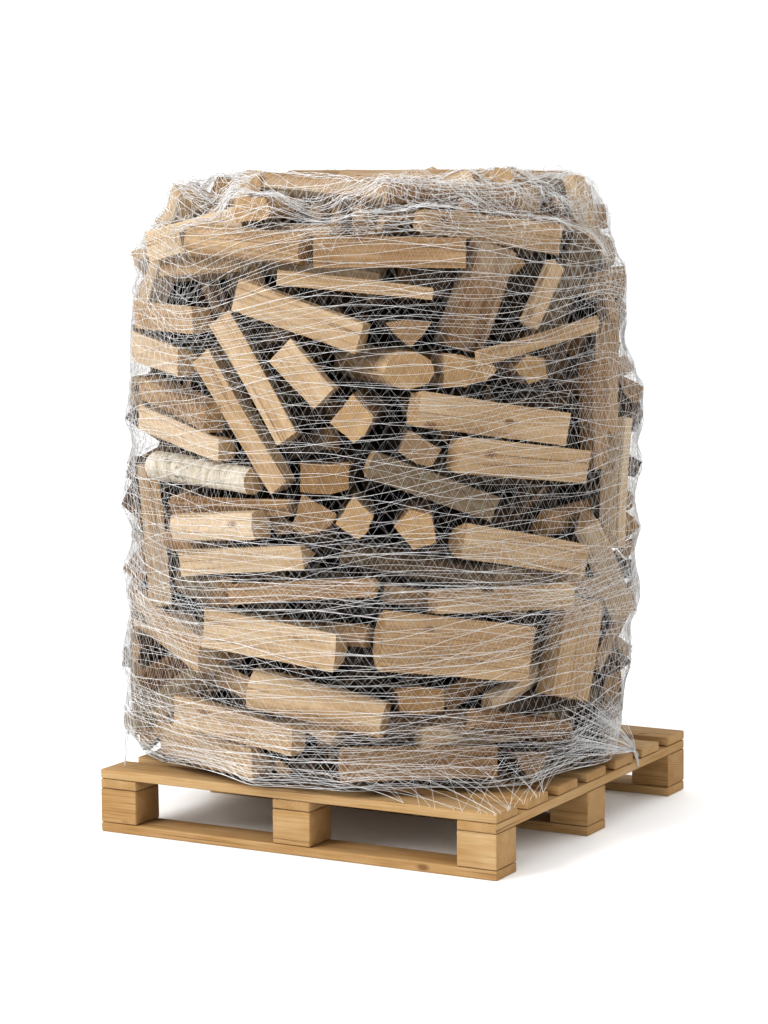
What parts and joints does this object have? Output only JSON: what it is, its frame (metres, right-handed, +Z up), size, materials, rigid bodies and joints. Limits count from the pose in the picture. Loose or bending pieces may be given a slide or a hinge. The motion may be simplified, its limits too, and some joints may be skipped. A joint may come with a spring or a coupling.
{
  "type": "netted pallet load of split firewood",
  "caption": "Round drum-formed column of split firewood standing on a square wooden pallet, wrapped in white knitted net.",
  "frame": {"origin": "centre of the pallet's underside, on the floor", "axes": "+Z up; -Y is the front of the load, across the deck boards; +X is its right side, along the deck boards"},
  "size_m": [1.218, 1.218, 1.487],
  "materials": {
    "pale_split_wood": "freshly split, pale and fibrous",
    "tan_split_wood": "split and sawn, darker tan",
    "mixed_split_wood": "split faces, saw-cut ends and some bark",
    "grey_bark": "smooth grey-brown bark",
    "birch_bark": "white bark with short dark marks",
    "pallet_wood": "sawn softwood, new and yellow",
    "net_thread": "white knitted plastic thread, slightly glossy"
  },
  "bodies": {
    "root": {"billet_base_front": "tan_split_wood", "billet_base_left": "pale_split_wood", "billet_big_plank": "pale_split_wood", "billet_birch": "birch_bark", "billet_cracked": "pale_split_wood", "billet_diag_lower": "pale_split_wood", "billet_diag_short": "pale_split_wood", "billet_diag_upper": "pale_split_wood", "billet_diamond": "pale_split_wood", "billet_diamond_end": "tan_split_wood", "billet_end_round": "pale_split_wood", "billet_end_small": "tan_split_wood", "billet_end_wide": "pale_split_wood", "billet_flat_long": "tan_split_wood", "billet_flat_wedge": "pale_split_wood", "billet_grey_diag": "grey_bark", "billet_knot_plank": "pale_split_wood", "billet_left_face": "pale_split_wood", "billet_left_pale": "pale_split_wood", "billet_long_round": "pale_split_wood", "billet_low_plank": "pale_split_wood", "billet_pale_over": "pale_split_wood", "billet_pale_wedge": "pale_split_wood", "billet_pile": "mixed_split_wood", "billet_rim_log": "tan_split_wood", "billet_second_plank": "pale_split_wood", "billet_short_low": "pale_split_wood", "billet_side_upright": "tan_split_wood", "billet_slant_short": "pale_split_wood", "billet_square_end": "tan_split_wood", "billet_stick": "pale_split_wood", "billet_tan_wedge": "tan_split_wood", "billet_thin_taper": "pale_split_wood", "billet_top_chunk": "tan_split_wood", "billet_top_long": "tan_split_wood", "billet_under_birch": "tan_split_wood", "billet_wide_pale": "pale_split_wood", "block_back_centre": "pallet_wood", "block_back_left": "pallet_wood", "block_back_right": "pallet_wood", "block_front_centre": "pallet_wood", "block_front_left": "pallet_wood", "block_front_right": "pallet_wood", "block_middle_centre": "pallet_wood", "block_middle_left": "pallet_wood", "block_middle_right": "pallet_wood", "bottom_board_back": "pallet_wood", "bottom_board_front": "pallet_wood", "bottom_board_middle": "pallet_wood", "deck_board_1": "pallet_wood", "deck_board_2": "pallet_wood", "deck_board_3": "pallet_wood", "deck_board_4": "pallet_wood", "deck_board_5": "pallet_wood", "deck_board_6": "pallet_wood", "deck_board_7": "pallet_wood", "net": "net_thread", "stringer_centre": "pallet_wood", "stringer_left": "pallet_wood", "stringer_right": "pallet_wood"}
  },
  "joints": []
}
